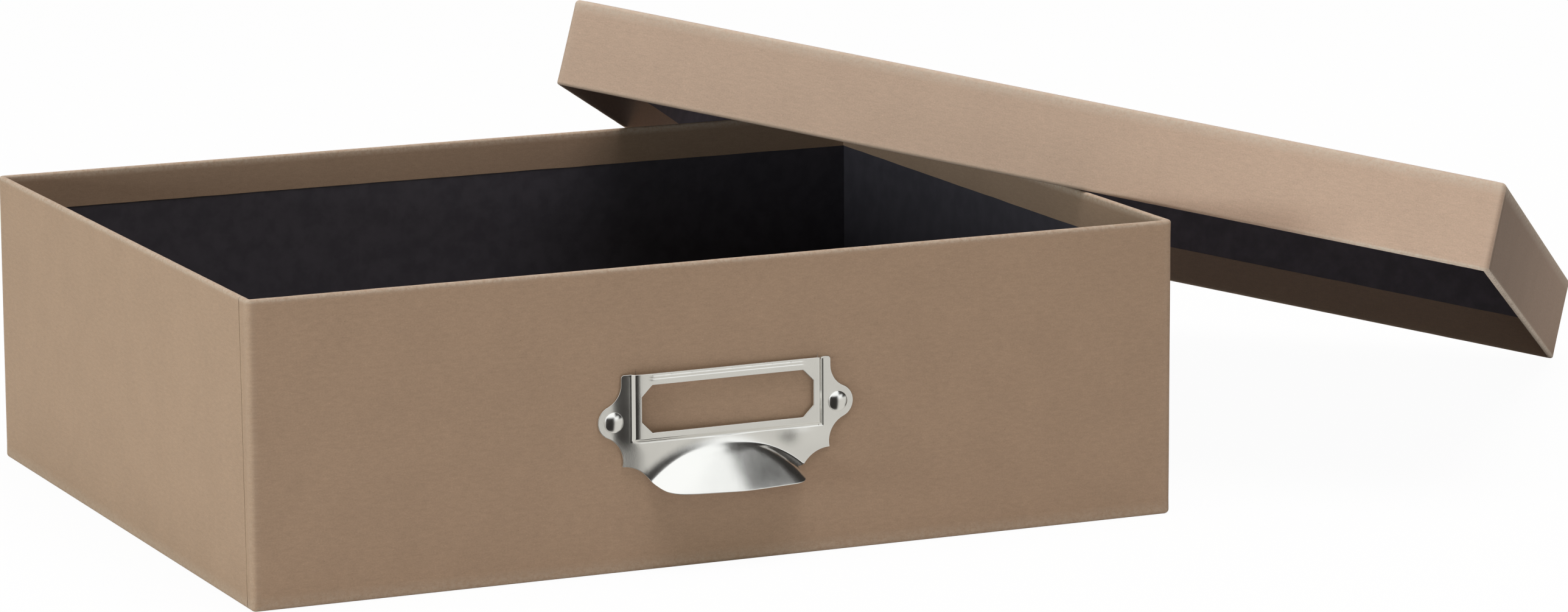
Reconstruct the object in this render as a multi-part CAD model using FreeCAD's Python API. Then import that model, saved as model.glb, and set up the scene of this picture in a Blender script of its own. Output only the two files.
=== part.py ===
import FreeCAD, Part
import math
import os

# A rigid file box covered in kraft paper, with its lift-off lid. The lid is off: it leans on the
# box, hooked over the back right corner of the rim, with one corner on the table.
# Millimetres, +X right along the front, +Y towards the back, +Z up.
# The origin is the middle of the box's underside.

V = FreeCAD.Vector
X = V(1, 0, 0)
Y = V(0, 1, 0)
Z = V(0, 0, 1)

# ---- driving dimensions ----

# the box, over its covering paper
box_width = 350.0
box_depth = 275.0
box_height = 107.6

# the lid
lid_height = 33.0
lid_play = 0.5          # between the box and the closed lid, on each side

# the layers of a wall, from the outside in
paper = 0.2             # kraft covering paper
stay = 0.1              # gummed tape round each corner, under the covering paper
board = 1.6             # greyboard
lining = 0.15           # black lining paper

# the covering and the lining
edge_radius = 2.0       # outside, on the upright corners
foot_radius = 1.6       # outside, where the walls meet the closed side
turn_in = 13.6          # covering paper folded over the rim to the inside
turn_under = 14.0       # covering paper folded under the closed side
sheet_margin = 2.6      # from the edge of the closed side to the sheet pasted on it
lining_below_rim = 3.0  # the lining ends under the turned-in paper
stay_leg = 18.0         # tape on each side of a corner
corner_flat = 0.0425    # left between the two roundings of a rim, where it turns a corner

# the seam where the ends of the covering paper overlap, beside one corner
seam_at_rim = 7.6
seam_at_foot = 5.0
seam_width = 0.35
seam_depth = 0.13
seam_notch = 0.7        # radius of the little gap at the seam's foot

# the label holder with its cup pull, stamped from one sheet
sheet = 0.8
window_half = 32.8      # the label window: half its width
window_half_height = 8.4
window_chamfer = 4.0
window_rise = 4.0       # middle of the window above the rivets
end_bar = 3.3           # the raised frame round the window: its two ends, foot and top
foot_bar = 3.0
top_bar = 4.0
frame_rise = 0.9        # room for a card behind the frame
head_clearance = 2.8    # between the frame and a rivet's head
ear_land = 2.3          # round a rivet's head
shoulder_inset = 2.7    # from a rivet to the side above its ear
shoulder_radius = 1.2
neck_radius = 8.4       # hollow curve above an ear
waist_inset = 3.3       # from a rivet to the side below its ear
waist_radius = 9.3      # hollow curve below an ear
waist_turn = 12.6       # degrees that curve runs past upright, down to the point
scallop_radius = 11.7   # hollow curve from the point to the cup
tip_half = 29.4         # middle of the holder to the cup's end
rib_inset = 3.0         # ribs on the top bar: from the window's end to their ends
rib_radius = 0.45
rib_proud = 0.18
rib_below_top = 1.2
rib_spacing = 1.05
rib_count = 2
arch_radius = 44.0      # the cup's upper edge, seen from the front
arch_below_frame = 2.9
cup_depth = 9.1         # the cup stands this far from the holder's plate
cup_curve = 14.0        # radius of the cup's side, seen from the end
cup_root = 1.0          # hollow radius where the cup leaves the plate
mouth_angle = 29.0      # slope of the cup's open underside

# the rivets and the washers inside the box
shank_radius = 1.6
shank_play = 0.05
head_overhang = 2.0     # rivet's head, past its shank
head_height = 1.35
head_edge = 0.35        # upright edge of the head, under its dome
tail_overhang = 0.9     # rivet's spread tail, past its shank
tail_height = 0.9
washer_overhang = 2.0   # washer, past the tail
washer_thickness = 0.5

# how the lid leans
lean_heading = 24.4     # plan angle, from the side walls, of the line through its two rests on the rim
lean_turn = 27.3        # angle between that line and the lid's near side
corner_headroom = 1.7   # between the box's back right corner and the inside of the lid's top
rest_gap = 0.25         # between the lid and the rims it rests on
table_gap = 0.15        # under the lid's lowest corner

# ---- derived dimensions ----

wall = 2 * paper + stay + board + lining
diagonal = math.cos(math.pi / 4)
rim_radius = (wall - corner_flat - edge_radius * (1 - diagonal)) / (1 + diagonal)
rim_flat = wall - 2 * rim_radius                          # the same flat along a straight wall
lid_width = box_width + 2 * (wall + lid_play)
lid_depth = box_depth + 2 * (wall + lid_play)
floor_under_board = 2 * paper
floor_top = floor_under_board + board + lining
rivet_line = box_height / 2
head_radius = shank_radius + head_overhang
tail_radius = shank_radius + tail_overhang
hole_radius = shank_radius + shank_play
frame_half = window_half + end_bar
frame_drop = window_half_height - window_rise + foot_bar
holder_top = window_half_height + window_rise + top_bar
ear_pitch = frame_half + head_clearance + head_radius    # middle of the holder to a rivet
ear_radius = head_radius + ear_land
shoulder_half = ear_pitch - shoulder_inset
waist_half = ear_pitch - waist_inset
arch_centre = -(frame_drop + arch_below_frame + arch_radius)
tip_height = arch_centre + math.sqrt(arch_radius ** 2 - tip_half ** 2)

# ---- construction ----

far = 4 * (box_width + box_depth + box_height)  # beyond every part
over = 1.0              # a cutter runs past its work by this
touch = 1e-4            # two places closer than this are the same
lean_passes = 60        # enough for the leaning lid to settle


# ---- helpers ----

def block(size, inset, low, high, upright=0.0, foot=0.0, rim=0.0):
    """A box round the Z axis, inset from size (width, depth), with its edges rounded."""
    width = size[0] - 2 * inset
    depth = size[1] - 2 * inset
    solid = Part.makeBox(width, depth, high - low, V(-width / 2, -depth / 2, low))
    if upright > 0:
        edges = [e for e in solid.Edges if e.BoundBox.ZLength > touch]
        solid = solid.makeFillet(upright, edges)
    if foot > 0:
        edges = [e for e in solid.Edges if e.BoundBox.ZMax < low + touch]
        solid = solid.makeFillet(foot, edges)
    if rim > 0:
        edges = [e for e in solid.Edges if e.BoundBox.ZMin > high - touch]
        solid = solid.makeFillet(rim, edges)
    return solid


def round_inner_rim(solid, size, inset, high, radius):
    """Round the edges, at height high, of a hollow inset from size (width, depth)."""
    edges = []
    for e in solid.Edges:
        box = e.BoundBox
        in_width = max(-box.XMin, box.XMax) < size[0] / 2 - inset + touch
        in_depth = max(-box.YMin, box.YMax) < size[1] / 2 - inset + touch
        if box.ZMin > high - touch and in_width and in_depth:
            edges.append(e)
    return solid.makeFillet(radius, edges)


def cylinder_y(radius, start, end, x=0.0, z=0.0):
    """A round bar along Y."""
    return Part.makeCylinder(radius, end - start, V(x, start, z), Y)


def revolve_y(edges, x=0.0, z=0.0):
    """Turn a closed outline in the XY plane about the Y axis, then move it to (x, z)."""
    solid = Part.Face(Part.Wire(edges)).revolve(V(0, 0, 0), Y, 360)
    solid.translate(V(x, 0, z))
    return solid


def line(a, b):
    return Part.LineSegment(a, b).toShape()


def arc(a, middle, b):
    return Part.Arc(a, middle, b).toShape()


# ---- one half of the box: an open tray, closed side down ----

def side_wrap(size, height):
    """The covering strip: round four walls, over the rim, down inside, and under the closed side."""
    shell = block(size, 0, paper, height, edge_radius, foot_radius, rim_radius)
    shell = shell.cut(block(size, wall, floor_under_board, height + over))
    shell = round_inner_rim(shell, size, wall, height, rim_radius)
    core = block(size, paper, floor_under_board, height - paper,
                 edge_radius - paper, foot_radius - paper, rim_radius - paper)
    core = core.cut(block(size, wall - paper, 0, height + over))
    core = round_inner_rim(core, size, wall - paper, height - paper, rim_radius - paper)
    shell = shell.cut(core)
    shell = shell.cut(block(size, wall - paper, floor_under_board, height - turn_in))
    shell = shell.cut(block(size, turn_under, 0, floor_under_board + paper))
    return cut_seam(shell, size, height)


def cut_seam(shell, size, height):
    """The overlap line on the left wall beside the front corner, and the gap at its foot."""
    skin = block(size, 0, paper, height, edge_radius, foot_radius, rim_radius)
    skin = skin.cut(block(size, seam_depth, paper + seam_depth, height - seam_depth,
                          edge_radius - seam_depth, foot_radius - seam_depth,
                          rim_radius - seam_depth))
    front = -size[1] / 2
    left = -size[0] / 2
    top = V(left - over, front + seam_at_rim, height + over)
    bottom = V(left - over, front + seam_at_foot, 0)
    step = V(0, seam_width, 0)
    outline = Part.makePolygon([bottom, bottom + step, top + step, top, bottom])
    slab = Part.Face(outline).extrude(V(over + wall, 0, 0))
    shell = shell.cut(skin.common(slab))
    slant = foot_radius * (1 - diagonal)
    return shell.cut(Part.makeSphere(seam_notch, V(left + slant, bottom.y, paper + slant)))


def end_sheet(size):
    """The sheet pasted over the closed side, on top of the turned-under strip."""
    return block(size, sheet_margin, 0, paper, edge_radius)


def floor_board(size):
    """The closed side's board, between the wall boards and inside the covering's foot."""
    outer = paper + stay
    top = floor_under_board + board
    inside = block(size, outer, floor_under_board, top + foot_radius, foot=foot_radius - outer)
    return block(size, outer + board, floor_under_board, top).common(inside)


def wall_boards(size, height, left, right):
    """The four wall boards, mitred at the corners, with their outer and upper edges rounded."""
    outer = paper + stay
    top = height - paper - stay
    ring = block(size, outer, floor_under_board, top,
                 edge_radius - outer, foot_radius - outer, rim_radius - outer)
    ring = ring.cut(block(size, outer + board, 0, height + over))
    ring = round_inner_rim(ring, size, outer + board, top, rim_radius - wall + outer + board)
    half_w = size[0] / 2
    half_d = size[1] / 2
    deep = 2 * wall
    boards = {}
    for name, out, along, half, other in ((left, -X, Y, half_w, half_d),
                                          (right, X, -Y, half_w, half_d),
                                          ("front", -Y, -X, half_d, half_w),
                                          ("back", Y, X, half_d, half_w)):
        corners = [out * half + along * other,
                   out * (half - deep) + along * (other - deep),
                   out * (half - deep) - along * (other - deep),
                   out * half - along * other]
        mitred = Part.Face(Part.makePolygon(corners + corners[:1])).extrude(Z * (height + over))
        boards[name] = ring.common(mitred)
    return boards


def corner_stays(size, height):
    """Gummed tape round the four upright corners, between the boards and the covering paper."""
    low = paper + foot_radius
    high = height - rim_radius - paper
    tape = block(size, paper, low, high, edge_radius - paper)
    tape = tape.cut(block(size, paper + stay, 0, height, edge_radius - paper - stay))
    right = size[0] / 2 - stay_leg
    back = size[1] / 2 - stay_leg
    tape = tape.cut(Part.makeBox(2 * right, far, far, V(-right, -far / 2, -far / 2)))
    return tape.cut(Part.makeBox(far, 2 * back, far, V(-far / 2, -back, -far / 2)))


def inner_lining(size, height):
    """Black paper on the floor and the walls, up to just under the rim."""
    outside = block(size, wall - paper - lining, floor_top - lining, height - lining_below_rim)
    return outside.cut(block(size, wall - paper, floor_top, height))


def tray(prefix, size, height, closed_side, sheet_name, left, right):
    """All the pieces of one half, by node name."""
    pieces = {
        prefix + "_side_wrap": side_wrap(size, height),
        prefix + "_" + sheet_name: end_sheet(size),
        prefix + "_" + closed_side: floor_board(size),
        prefix + "_corner_stays": corner_stays(size, height),
        prefix + "_lining": inner_lining(size, height),
    }
    for side, solid in wall_boards(size, height, left, right).items():
        pieces[prefix + "_" + side + "_board"] = solid
    return pieces


# ---- the label holder, built on the plane y = 0 with its rivets at z = 0 ----

def half_outline(side):
    """Edges of one side of the holder's outline, from its top down to the cup's end."""
    def point(x, z):
        return V(side * x, 0, z)

    def on_circle(centre, radius, angle):
        return point(centre[0] + radius * math.cos(angle), centre[1] + radius * math.sin(angle))

    def tangent_circle(x, radius, below):
        """Centre, level with x, of a hollow curve tangent to the ear, and the way to it."""
        away = x - ear_pitch
        z = math.sqrt((ear_radius + radius) ** 2 - away ** 2) * below
        return (x, z), math.atan2(z, away)

    inward = math.pi
    neck, to_neck = tangent_circle(shoulder_half + neck_radius, neck_radius, 1)
    waist, to_waist = tangent_circle(waist_half + waist_radius, waist_radius, -1)
    shoulder = (shoulder_half - shoulder_radius, holder_top - shoulder_radius)
    ear = (ear_pitch, 0)
    below_waist = inward + math.radians(waist_turn)
    cusp = on_circle(waist, waist_radius, below_waist)
    tip = point(tip_half, tip_height)
    chord = tip - cusp
    bulge = scallop_radius - math.sqrt(scallop_radius ** 2 - chord.Length ** 2 / 4)
    upward = V(-chord.z, 0, chord.x).normalize() * -side
    scallop_top = (cusp + tip) * 0.5 + upward * bulge
    return [
        line(point(0, holder_top), point(shoulder[0], holder_top)),
        arc(point(shoulder[0], holder_top), on_circle(shoulder, shoulder_radius, math.pi / 4),
            point(shoulder_half, shoulder[1])),
        line(point(shoulder_half, shoulder[1]), point(shoulder_half, neck[1])),
        arc(point(shoulder_half, neck[1]), on_circle(neck, neck_radius, inward + to_neck / 2),
            on_circle(ear, ear_radius, to_neck)),
        arc(on_circle(ear, ear_radius, to_neck), on_circle(ear, ear_radius, 0),
            on_circle(ear, ear_radius, to_waist)),
        arc(on_circle(ear, ear_radius, to_waist),
            on_circle(waist, waist_radius, (inward + to_waist + below_waist) / 2), cusp),
        arc(cusp, scallop_top, tip),
    ]


def outline_prism(depth):
    """The holder's outline, from the wall outwards by depth."""
    edges = half_outline(1) + half_outline(-1)
    edges.append(line(V(tip_half, 0, tip_height), V(-tip_half, 0, tip_height)))
    wire = Part.Wire(Part.__sortEdges__(edges))
    return Part.Face(wire).extrude(V(0, -depth, 0))


def sloped_block(half, low, high, start, rise):
    """A block on the plane y = start, whose ends and lower side slope in as it rises off it."""
    return Part.makeWedge(-half + rise, start - rise, low + rise, low, -half,
                          half - rise, start, high, high, half)


def window_cutter():
    """The eight-sided label window, through everything in front of the wall."""
    c = window_chamfer
    low = window_rise - window_half_height
    high = window_rise + window_half_height
    points = [V(-window_half, over, low + c), V(-window_half + c, over, low),
              V(window_half - c, over, low), V(window_half, over, low + c),
              V(window_half, over, high - c), V(window_half - c, over, high),
              V(-window_half + c, over, high), V(-window_half, over, high - c)]
    return Part.Face(Part.makePolygon(points + points[:1])).extrude(V(0, -far, 0))


def label_frame():
    """The raised frame: sloping ends and foot, open behind its top bar so that a card slips in."""
    bend = sheet * math.tan(math.pi / 8)    # keeps the slope as thick as the sheet
    front = -sheet - frame_rise
    plate = Part.makeBox(2 * frame_half, sheet, holder_top + frame_drop,
                         V(-frame_half, -sheet, -frame_drop))
    frame = plate.fuse(sloped_block(frame_half, -frame_drop, holder_top, -sheet, frame_rise))
    frame = frame.cut(sloped_block(frame_half - bend, -frame_drop + bend, holder_top + over,
                                   0, frame_rise))
    rib_half = window_half - rib_inset
    for n in range(rib_count):
        z = holder_top - rib_below_top - n * rib_spacing
        rib = Part.makeCylinder(rib_radius, 2 * rib_half,
                                V(-rib_half, front - rib_proud + rib_radius, z), X)
        behind = Part.makeBox(2 * rib_half, far, far, V(-rib_half, front + sheet / 2, -far / 2))
        frame = frame.fuse(rib.cut(behind))
    return frame.cut(window_cutter())


def cup_section():
    """The cup's wall in section, with x from the cup's axis, and the reach of its flat foot."""
    upright = math.pi / 2
    inner = cup_curve - sheet
    rise = math.asin(1 - cup_depth / cup_curve)
    middle = V(arch_radius - cup_curve * math.cos(rise), cup_curve * math.sin(rise) - sheet, 0)
    root_y = -sheet - cup_root
    root_r = middle.x + math.sqrt((cup_curve + cup_root) ** 2 - (middle.y - root_y) ** 2)
    lean_in = math.atan2(middle.y - root_y, root_r - middle.x)
    foot = math.asin(middle.y / inner)
    reach = root_r + 2 * cup_root

    def at(radius, angle):
        return middle + V(radius * math.cos(angle), -radius * math.sin(angle), 0)

    root_way = (math.pi - lean_in + upright) / 2
    root_mid = V(root_r + cup_root * math.cos(root_way), root_y + cup_root * math.sin(root_way), 0)
    return [
        line(V(reach, 0, 0), at(inner, foot)),
        arc(at(inner, foot), at(inner, (foot + upright) / 2), at(inner, upright)),
        line(at(inner, upright), V(0, at(inner, upright).y, 0)),
        line(V(0, at(inner, upright).y, 0), V(0, at(cup_curve, upright).y, 0)),
        line(V(0, at(cup_curve, upright).y, 0), at(cup_curve, upright)),
        arc(at(cup_curve, upright), at(cup_curve, (lean_in + upright) / 2),
            at(cup_curve, lean_in)),
        arc(at(cup_curve, lean_in), root_mid, V(root_r, -sheet, 0)),
        line(V(root_r, -sheet, 0), V(reach, -sheet, 0)),
        line(V(reach, -sheet, 0), V(reach, 0, 0)),
    ], reach


def below_mouth():
    """Everything below the cup's sloping open underside."""
    cutter = Part.makeBox(far, far, far, V(-far / 2, -far / 2, -far))
    cutter.rotate(V(0, 0, 0), X, mouth_angle)
    cutter.translate(V(0, -sheet, tip_height))
    return cutter


def label_holder():
    """The whole stamping: plate with ears, raised frame and cup pull."""
    section, foot_reach = cup_section()
    front = cup_depth + 2 * sheet
    cup = revolve_y(section, 0, arch_centre)
    allowed = outline_prism(front).fuse(cylinder_y(arch_radius, -front, 0, 0, arch_centre))
    cup = cup.common(allowed).cut(below_mouth())
    plate = outline_prism(sheet)
    plate = plate.cut(cylinder_y(foot_reach, -front, over, 0, arch_centre))
    plate = plate.cut(Part.makeBox(2 * frame_half, 2 * sheet, holder_top + frame_drop + over,
                                   V(-frame_half, -1.5 * sheet, -frame_drop)))
    holder = plate.fuse([cup, label_frame()]).removeSplitter()
    return holder.cut(shank_holes())


# ---- rivets and washers, on the same plane ----

def rivet(x):
    """A dome-headed rivet through plate and wall, with its tail spread over the washer."""
    top = -sheet - head_height
    edge = -sheet - head_edge
    rise = edge - top
    dome = (head_radius ** 2 + rise ** 2) / (2 * rise)
    half = math.asin(head_radius / dome) / 2
    dome_mid = V(dome * math.sin(half), top + dome - dome * math.cos(half), 0)
    seat = wall - paper + washer_thickness
    tail = seat + tail_height
    tail_mid = V(tail_radius * diagonal, seat + tail_height * diagonal, 0)
    section = [
        line(V(0, top, 0), V(0, tail, 0)),
        arc(V(0, tail, 0), tail_mid, V(tail_radius, seat, 0)),
        line(V(tail_radius, seat, 0), V(shank_radius, seat, 0)),
        line(V(shank_radius, seat, 0), V(shank_radius, -sheet, 0)),
        line(V(shank_radius, -sheet, 0), V(head_radius, -sheet, 0)),
        line(V(head_radius, -sheet, 0), V(head_radius, edge, 0)),
        arc(V(head_radius, edge, 0), dome_mid, V(0, top, 0)),
    ]
    return revolve_y(section, x, 0)


def washer(x):
    start = wall - paper
    ring = cylinder_y(tail_radius + washer_overhang, start, start + washer_thickness, x, 0)
    return ring.cut(shank_holes())


def shank_holes():
    """Clearance for both shanks through everything that they hold together."""
    low = -cup_depth - 2 * sheet
    high = wall + washer_thickness + over
    return Part.makeCompound([cylinder_y(hole_radius, low, high, x, 0)
                              for x in (-ear_pitch, ear_pitch)])


# ---- the leaning lid ----

def rim_reach(normal, thickness_way):
    """How far a rim's rounded section reaches along a normal, from the section's middle."""
    return rim_radius + abs(normal.dot(thickness_way)) * rim_flat / 2


def lean():
    """Origin and axes of the leaning lid, from what it rests on.

    The lid's own frame has its origin at the near left corner of its open edge, x along its near
    side, y along its left end and z towards its top. Its near side rests on the right rim and its
    left end on the back rim, one rim across another, and its far right corner stands on the table.
    The rests lie as far from the box's corner as the headroom under the lid's top allows. Each
    pass corrects the last, and the numbers settle in a few passes.
    """
    r = rim_radius
    half = wall / 2
    heading = math.radians(lean_heading)
    turn = math.radians(lean_turn)
    corner = V(box_width / 2 - half, box_depth / 2 - half, box_height - r)
    ceiling = lid_height - floor_top
    length = lid_width - edge_radius - half
    depth = lid_depth - edge_radius - half
    span = box_height * 2
    u = X
    v = Y
    above_right = Z
    above_back = Z
    for _ in range(lean_passes):
        lift_right = rim_reach(above_right, X) + rim_reach(above_right, v) + rest_gap
        lift_back = rim_reach(above_back, Y) + rim_reach(above_back, u) + rest_gap
        on_right = corner - Y * (span * math.cos(heading)) + above_right * lift_right
        on_back = corner - X * (span * math.sin(heading)) + above_back * lift_back
        between = on_right - on_back
        line_way = between * (1 / between.Length)
        run_left = between.Length * math.sin(turn)
        level = line_way.cross(Z).normalize()
        rising = level.cross(line_way)
        if rising.z < 0:
            rising = -rising
        dip = (edge_radius - r) * math.hypot(u.z, v.z)
        table = table_gap + r + dip
        along = run_left * math.sin(turn) + length * math.cos(turn) - depth * math.sin(turn)
        down = length * math.sin(turn) + depth * math.cos(turn) - run_left * math.cos(turn)
        slope = (on_back.z + line_way.z * along - table) / down / rising.z
        uphill = level * math.sqrt(1 - slope ** 2) + rising * slope
        u = line_way * math.cos(turn) - uphill * math.sin(turn)
        v = -line_way * math.sin(turn) - uphill * math.cos(turn)
        w = u.cross(v)
        above_right = u.cross(Y).normalize()
        above_back = X.cross(v).normalize()
        sideways = V(w.x, w.y, 0).normalize()
        highest = corner + V(half - edge_radius, half - edge_radius, 0)
        highest = highest + sideways * (edge_radius - r) + w * r
        reach = (highest - on_back).dot(w)
        span *= (ceiling - corner_headroom - r) / reach
    start = on_back - v * run_left - (u + v) * half - w * r
    return start, u, v, w


def lid_placement():
    """Turns a tray built closed side down over, and puts it where the lid leans."""
    start, u, v, w = lean()
    middle = start + u * (lid_width / 2) + v * (lid_depth / 2) + w * lid_height
    m = FreeCAD.Matrix(-u.x, v.x, -w.x, middle.x,
                       -u.y, v.y, -w.y, middle.y,
                       -u.z, v.z, -w.z, middle.z,
                       0, 0, 0, 1)
    return FreeCAD.Placement(m)


# ---- assembly ----

def all_parts():
    parts = tray("base", (box_width, box_depth), box_height,
                 "floor_board", "bottom_sheet", "left", "right")
    front = V(0, -box_depth / 2, rivet_line)
    holes = shank_holes()
    holes.translate(front)
    for name in ("base_side_wrap", "base_front_board", "base_lining"):
        parts[name] = parts[name].cut(holes)
    fittings = {
        "label_holder": label_holder(),
        "left_rivet": rivet(-ear_pitch),
        "right_rivet": rivet(ear_pitch),
        "rivet_washers": Part.makeCompound([washer(-ear_pitch), washer(ear_pitch)]),
    }
    for name, shape in fittings.items():
        shape.translate(front)
        parts[name] = shape
    leaning = lid_placement()
    lid = tray("lid", (lid_width, lid_depth), lid_height,
               "top_board", "top_sheet", "right", "left")
    for name, shape in lid.items():
        shape.Placement = leaning.multiply(shape.Placement)
        parts[name] = shape
    return parts


os.makedirs("parts", exist_ok=True)
for node, part in all_parts().items():
    Part.makeCompound(part.Solids).exportStep("parts/" + node + ".step")
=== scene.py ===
import math

import bmesh
import bpy
from mathutils import Matrix, Vector, noise
from mathutils.geometry import delaunay_2d_cdt


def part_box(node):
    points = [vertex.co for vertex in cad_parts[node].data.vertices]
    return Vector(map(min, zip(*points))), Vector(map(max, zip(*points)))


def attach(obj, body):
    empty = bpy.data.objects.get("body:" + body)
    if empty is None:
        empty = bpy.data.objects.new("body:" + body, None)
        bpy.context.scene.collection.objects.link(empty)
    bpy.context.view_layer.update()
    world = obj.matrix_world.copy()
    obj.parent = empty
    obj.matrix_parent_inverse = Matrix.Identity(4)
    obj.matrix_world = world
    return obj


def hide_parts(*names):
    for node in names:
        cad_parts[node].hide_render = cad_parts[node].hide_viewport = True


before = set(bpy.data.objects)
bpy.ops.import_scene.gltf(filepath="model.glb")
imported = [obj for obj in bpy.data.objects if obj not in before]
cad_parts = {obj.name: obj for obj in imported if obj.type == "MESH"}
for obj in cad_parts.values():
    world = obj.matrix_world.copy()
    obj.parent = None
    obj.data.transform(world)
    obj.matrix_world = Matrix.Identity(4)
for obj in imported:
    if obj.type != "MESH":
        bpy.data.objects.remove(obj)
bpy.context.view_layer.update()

# Lengths below are millimetres, in the model's frame: +X right along the front, +Y towards the
# back, +Z up, with the origin in the middle of the box's underside. Lamps and camera clips are in
# metres.

MM = 0.001

# ---- the camera, at the photograph's viewing angle ----

CAMERA_AT = Vector((-853.655, -2063.485, 497.141))
CAMERA_RIGHT = Vector((0.90990767, -0.41478874, -0.00428247))
CAMERA_UP = Vector((0.08236396, 0.17054137, 0.98190214))
CAMERA_LENS = 142.36
SENSOR_WIDTH = 36.0

# ---- sizes shared with the model's source ----

PAPER = 0.2             # kraft covering paper
STAY = 0.1              # gummed tape round the corners
BOARD = 1.6
LINING = 0.15
WALL = 2 * PAPER + STAY + BOARD + LINING
EDGE_RADIUS = 2.0       # outside, on the upright corners
FOOT_RADIUS = 1.6       # where the walls meet the closed side
RIM_RADIUS = 0.95
TURN_IN = 13.6          # covering paper folded over the rim to the inside
TURN_UNDER = 14.0       # and under the closed side
SHEET_MARGIN = 2.6      # the pasted sheets stop this far in from the outside
LID_HEIGHT = 33.0
SEAM_AT_RIM = 7.6       # the strip's end, this far before the next corner, at the rim
SEAM_AT_FOOT = 5.0      # and at the foot

STEEL = 0.8             # thickness of the label holder's sheet
WINDOW_HALF = 32.8
WINDOW_HALF_HEIGHT = 8.4
WINDOW_CHAMFER = 4.0
WINDOW_RISE = 4.0
END_BAR = 3.3
FOOT_BAR = 3.0
TOP_BAR = 4.0
FRAME_RISE = 0.9
HEAD_CLEARANCE = 2.8
EAR_LAND = 2.3
SHOULDER_INSET = 2.7
SHOULDER_RADIUS = 1.2
NECK_RADIUS = 8.4
WAIST_INSET = 3.3
WAIST_RADIUS = 9.3
WAIST_TURN = 12.6
SCALLOP_RADIUS = 11.7
TIP_HALF = 29.4
RIB_BELOW_TOP = 1.2
RIB_SPACING = 1.05
RIB_COUNT = 2
RIB_INSET = 3.0
ARCH_RADIUS = 44.0
ARCH_BELOW_FRAME = 2.9
CUP_DEPTH = 9.1
MOUTH_ANGLE = math.radians(29.0)
SHANK_RADIUS = 1.6
SHANK_PLAY = 0.05
HEAD_RADIUS = SHANK_RADIUS + 2.0
HEAD_HEIGHT = 1.35
HEAD_EDGE = 0.35
TAIL_RADIUS = SHANK_RADIUS + 0.9
TAIL_HEIGHT = 0.9
WASHER_RADIUS = TAIL_RADIUS + 2.0
WASHER_THICKNESS = 0.5

FRAME_HALF = WINDOW_HALF + END_BAR
FRAME_DROP = WINDOW_HALF_HEIGHT - WINDOW_RISE + FOOT_BAR
HOLDER_TOP = WINDOW_HALF_HEIGHT + WINDOW_RISE + TOP_BAR
EAR_PITCH = FRAME_HALF + HEAD_CLEARANCE + HEAD_RADIUS
EAR_RADIUS = HEAD_RADIUS + EAR_LAND
ARCH_CENTRE = -(FRAME_DROP + ARCH_BELOW_FRAME + ARCH_RADIUS)
TIP_HEIGHT = ARCH_CENTRE + math.sqrt(ARCH_RADIUS ** 2 - TIP_HALF ** 2)
LIP_HEIGHT = TIP_HEIGHT - CUP_DEPTH * math.tan(MOUTH_ANGLE)


def node_size(node):
    """Width, depth and height of a node's box, in millimetres."""
    low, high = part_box(node)
    return [(high[axis] - low[axis]) / MM for axis in range(3)]


BOX_WIDTH, BOX_DEPTH, wrap_height = node_size("base_side_wrap")
BOX_HEIGHT = wrap_height + PAPER
RIVET_LINE = BOX_HEIGHT / 2


# ---- camera, lights and floor ----

def make_camera():
    data = bpy.data.cameras.new("camera")
    data.lens = CAMERA_LENS
    data.sensor_width = SENSOR_WIDTH
    data.sensor_fit = "HORIZONTAL"
    data.clip_start = 0.01
    data.clip_end = 50.0
    camera = bpy.data.objects.new("camera", data)
    back = CAMERA_RIGHT.cross(CAMERA_UP)
    turn = Matrix((CAMERA_RIGHT, CAMERA_UP, back)).transposed().to_4x4()
    camera.matrix_world = Matrix.Translation(CAMERA_AT * MM) @ turn
    bpy.context.scene.collection.objects.link(camera)
    bpy.context.scene.camera = camera


LAMP_AIM = Vector((0, 0, 0.05))


def area_light(name, at, size, power, colour):
    """A soft rectangular lamp at a point, turned to the object."""
    data = bpy.data.lights.new(name, "AREA")
    data.shape = "RECTANGLE"
    data.size, data.size_y = size
    data.energy = power
    data.color = colour
    lamp = bpy.data.objects.new(name, data)
    lamp.location = at
    lamp.rotation_euler = (LAMP_AIM - Vector(at)).to_track_quat("-Z", "Y").to_euler()
    lamp.visible_glossy = False
    bpy.context.scene.collection.objects.link(lamp)


def make_lights():
    area_light("left", (-2.7, -0.6, 0.3), (0.8, 0.5), 34, (0.95, 1.0, 1.0))
    area_light("top", (0.2, -0.4, 2.6), (2.0, 1.6), 52, (1.0, 0.95, 0.98))


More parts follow.
